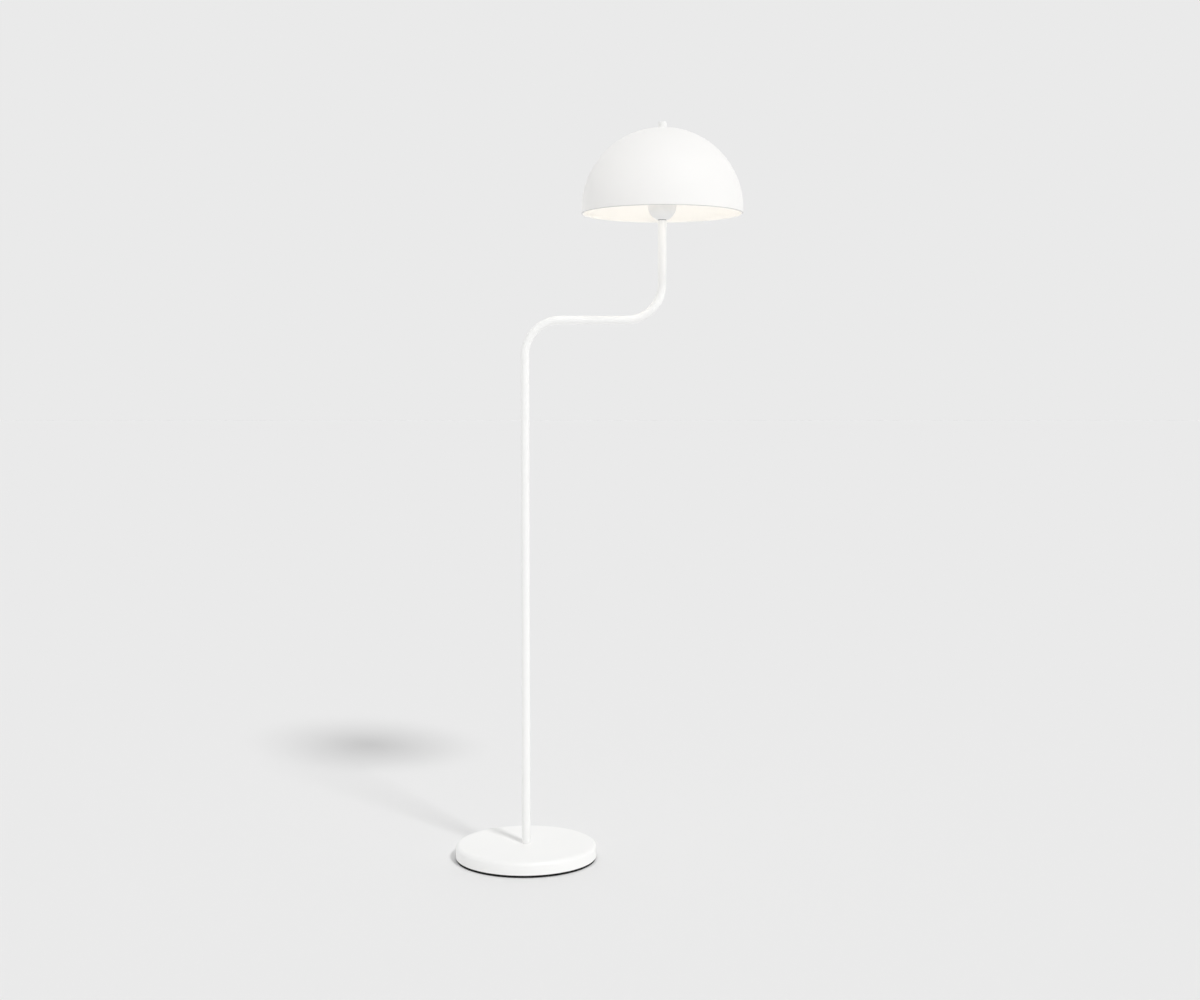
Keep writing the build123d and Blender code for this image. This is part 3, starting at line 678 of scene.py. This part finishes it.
def build_harp():
    """Bent wire on a ring, with a crown and a threaded stud."""
    low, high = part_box("harp")
    x = (low.x + high.x) / 2
    half = (high.x - low.x) / 2 - WIRE_RADIUS
    leg = HARP_RING_RADIUS - WIRE_RADIUS
    ring_top = low.z + HARP_RING_THICKNESS
    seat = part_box("seat_washer")[0].z
    crown_low = seat - CROWN_THICKNESS
    wire_top = crown_low + WELD_DEPTH - WIRE_RADIUS
    bends = [
        (leg, ring_top - WELD_DEPTH, 0),
        (leg, ring_top + HARP_FOOT, HARP_FOOT_BEND),
        (half, ring_top + HARP_FOOT + HARP_FLARE, HARP_FLARE_BEND),
        (half, wire_top, HARP_SHOULDER_BEND),
    ]
    right = [(x + across, z, radius) for across, z, radius in bends]
    left = [(x - across, z, radius) for across, z, radius in bends[::-1]]
    route = rounded(right + left, closed=False)
    sections = [(i, WIRE_RADIUS) for i in range(len(route))]
    wire = sweep(route, sections, WIRE_STEPS, closed=False)
    ring_outline = rounded(
        [
            (HARP_RING_HOLE, ring_top, HARP_RING_EDGE),
            (HARP_RING_RADIUS, ring_top, HARP_RING_EDGE),
            (HARP_RING_RADIUS, low.z, HARP_RING_EDGE),
            (HARP_RING_HOLE, low.z, HARP_RING_EDGE),
        ]
    )
    crown_outline = rounded(
        [
            (0, seat, 0),
            (CROWN_RADIUS, seat, SMALL_EDGE),
            (CROWN_RADIUS, crown_low, 2 * SMALL_EDGE),
            (0, crown_low, 0),
        ]
    )

    def stud_radius(z, k):
        fade = min(1, (high.z - z) / STUD_PITCH)
        return STUD_RADIUS - STUD_THREAD_DEPTH * (1 - fade * thread_height(z, k, STUD_PITCH))

    rows = [(z, 0) for z in levels(seat - WELD_DEPTH, high.z, STUD_PITCH)]
    stud = turned(rows, stud_radius, x, closed=False)
    ring = lathe(ring_outline, x)
    crown = lathe(crown_outline, x, TUBE_STEPS)
    verts, faces = merged(wire, ring, crown, stud)
    new_piece("harp_frame", verts, faces, "stand", "harp_steel", ["harp"])


def build_bulb_cap():
    """Thin rolled shell with a round thread between a tapered foot and a plain band."""
    low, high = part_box("bulb_cap")
    x = (low.x + high.x) / 2
    radius = (high.x - low.x) / 2
    shoulder = low.z + CAP_TAPER
    band = high.z - CAP_PITCH / 2

    def cap_radius(z, k):
        foot = min(1, (z - low.z) / CAP_TAPER)
        fade = min(1, max(0, (z - shoulder) / CAP_PITCH), max(0, (band - z) / CAP_PITCH))
        dip = fade * (1 - thread_height(z, k, CAP_PITCH))
        return CAP_MOUTH_RADIUS + (radius - CAP_MOUTH_RADIUS) * foot - CAP_THREAD_DEPTH * dip

    heights = levels(low.z, high.z, CAP_PITCH)
    rows = [(z, 0) for z in heights] + [(z, WALL_CAP) for z in heights[::-1]]
    verts, faces = turned(rows, cap_radius, x, closed=True)
    new_piece("bulb_cap_rolled", verts, faces, "bulb", "cap_metal", ["bulb_cap"])


def build_holder_thread():
    """Thread on the lampholder's skirt, where it shows above the clamp ring."""
    low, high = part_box("clamp_ring")
    x = (low.x + high.x) / 2
    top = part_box("holder_shell")[1].z - SKIRT_PLAIN_TOP

    def ridge_radius(z, k):
        fade = min(1, (top - z) / SKIRT_PITCH)
        return SKIRT_RADIUS + SKIRT_THREAD_DEPTH * fade * thread_height(z, k, SKIRT_PITCH)

    heights = levels(high.z, top, SKIRT_PITCH)
    rows = [(z, 0) for z in heights] + [(z, 2 * SKIRT_THREAD_DEPTH) for z in heights[::-1]]
    verts, faces = turned(rows, ridge_radius, x, closed=True)
    new_piece("holder_thread", verts, faces, "stand", "white_plastic")


build_shade()
build_finial()
build_cover()
build_pad()
build_poles()
build_cup()
build_harp()
build_bulb_cap()
build_holder_thread()


# Floor, world, lamps and camera
def seen_directly(tree):
    """1 for what the camera, a reflection or clear glass sees, 0 for light on its way elsewhere."""
    path = tree.nodes.new("ShaderNodeLightPath")
    either = path.outputs["Is Camera Ray"]
    for kind in ("Is Glossy Ray", "Is Transmission Ray"):
        most = tree.nodes.new("ShaderNodeMath")
        most.operation = "MAXIMUM"
        tree.links.new(either, most.inputs[0])
        tree.links.new(path.outputs[kind], most.inputs[1])
        either = most.outputs[0]
    return either


def mixed(tree, unseen, seen, output):
    """One shader for what is seen directly and another for all other light."""
    mix = tree.nodes.new("ShaderNodeMixShader")
    tree.links.new(seen_directly(tree), mix.inputs[0])
    tree.links.new(unseen.outputs[0], mix.inputs[1])
    tree.links.new(seen.outputs[0], mix.inputs[2])
    tree.links.new(mix.outputs[0], tree.nodes[output].inputs["Surface"])


def build_stage():
    """Plain floor: the photograph's grey to the eye, white paper to the light that it returns."""
    mesh = bpy.data.meshes.new("floor")
    signs = ((-1, -1), (1, -1), (1, 1), (-1, 1))
    corners = [(FLOOR_HALF_SIZE * a, FLOOR_HALF_SIZE * b, 0) for a, b in signs]
    mesh.from_pydata(corners, [], [(0, 1, 2, 3)])
    floor = bpy.data.objects.new("floor", mesh)
    bpy.context.scene.collection.objects.link(floor)
    tone = BACKGROUND / (SKY_ON_FLOOR + KEY_ON_FLOOR)
    material, tree, shader = surface("floor", (tone, tone, tone), 1.0, specular=0.0)
    bounce = tree.nodes.new("ShaderNodeBsdfDiffuse")
    bounce.inputs["Color"].default_value = (FLOOR_BOUNCE, FLOOR_BOUNCE, FLOOR_BOUNCE, 1)
    mixed(tree, bounce, shader, "Material Output")
    mesh.materials.append(material)


def build_world():
    """Graded sky, darkest towards the key; what is seen of it has the background's grey."""
    world = bpy.data.worlds.new("studio")
    bpy.context.scene.world = world
    world.use_nodes = True
    tree = world.node_tree
    ambient = tree.nodes["Background"]
    ambient.inputs["Color"].default_value = (1, 1, 1, 1)
    place = tree.nodes.new("ShaderNodeTexCoord")
    grade = tree.nodes.new("ShaderNodeVectorMath")
    grade.operation = "DOT_PRODUCT"
    grade.inputs[1].default_value = SKY_GRADE
    level = tree.nodes.new("ShaderNodeMath")
    level.operation = "ADD"
    level.inputs[1].default_value = SKY_LEVEL
    tree.links.new(place.outputs["Generated"], grade.inputs[0])
    tree.links.new(grade.outputs["Value"], level.inputs[0])
    tree.links.new(level.outputs[0], ambient.inputs["Strength"])
    seen = tree.nodes.new("ShaderNodeBackground")
    seen.inputs["Color"].default_value = (BACKGROUND, BACKGROUND, BACKGROUND, 1)
    mixed(tree, ambient, seen, "World Output")


def add_lamp(data, travel):
    """A lamp that shines along a direction."""
    lamp = bpy.data.objects.new(data.name, data)
    lamp.rotation_mode = "QUATERNION"
    lamp.rotation_quaternion = travel.to_track_quat("-Z", "Y")
    bpy.context.scene.collection.objects.link(lamp)
    return lamp


def build_key():
    """One large soft lamp, far off to the front right."""
    data = bpy.data.lights.new("key", "SUN")
    data.energy = KEY_ON_FLOOR * math.pi / -KEY_TRAVEL.z
    data.angle = KEY_ANGLE
    add_lamp(data, KEY_TRAVEL)


def build_fill():
    """A small snooted lamp, level from the right, for the upright tube in the shade's shadow."""
    data = bpy.data.lights.new("fill", "SPOT")
    data.energy = FILL_WATTS
    data.spot_size = FILL_CONE
    data.spot_blend = FILL_BLEND
    data.shadow_soft_size = FILL_RADIUS
    add_lamp(data, FILL_TARGET - FILL_PLACE).location = FILL_PLACE


def build_camera():
    """The photograph's camera."""
    data = bpy.data.cameras.new("camera")
    data.sensor_fit = "HORIZONTAL"
    data.sensor_width = CAMERA_SENSOR
    data.lens = FOCAL_PX / PHOTO_WIDTH_PX * CAMERA_SENSOR
    data.clip_end = CAMERA_CLIP_END
    camera = bpy.data.objects.new("camera", data)
    camera.location = CAMERA_PLACE
    camera.rotation_euler = (math.pi / 2 - CAMERA_TILT, 0, 0)
    bpy.context.scene.collection.objects.link(camera)
    bpy.context.scene.camera = camera


build_stage()
build_world()
build_key()
build_fill()
build_camera()
bpy.context.scene.view_settings.view_transform = "Standard"

bpy.context.view_layer.update()
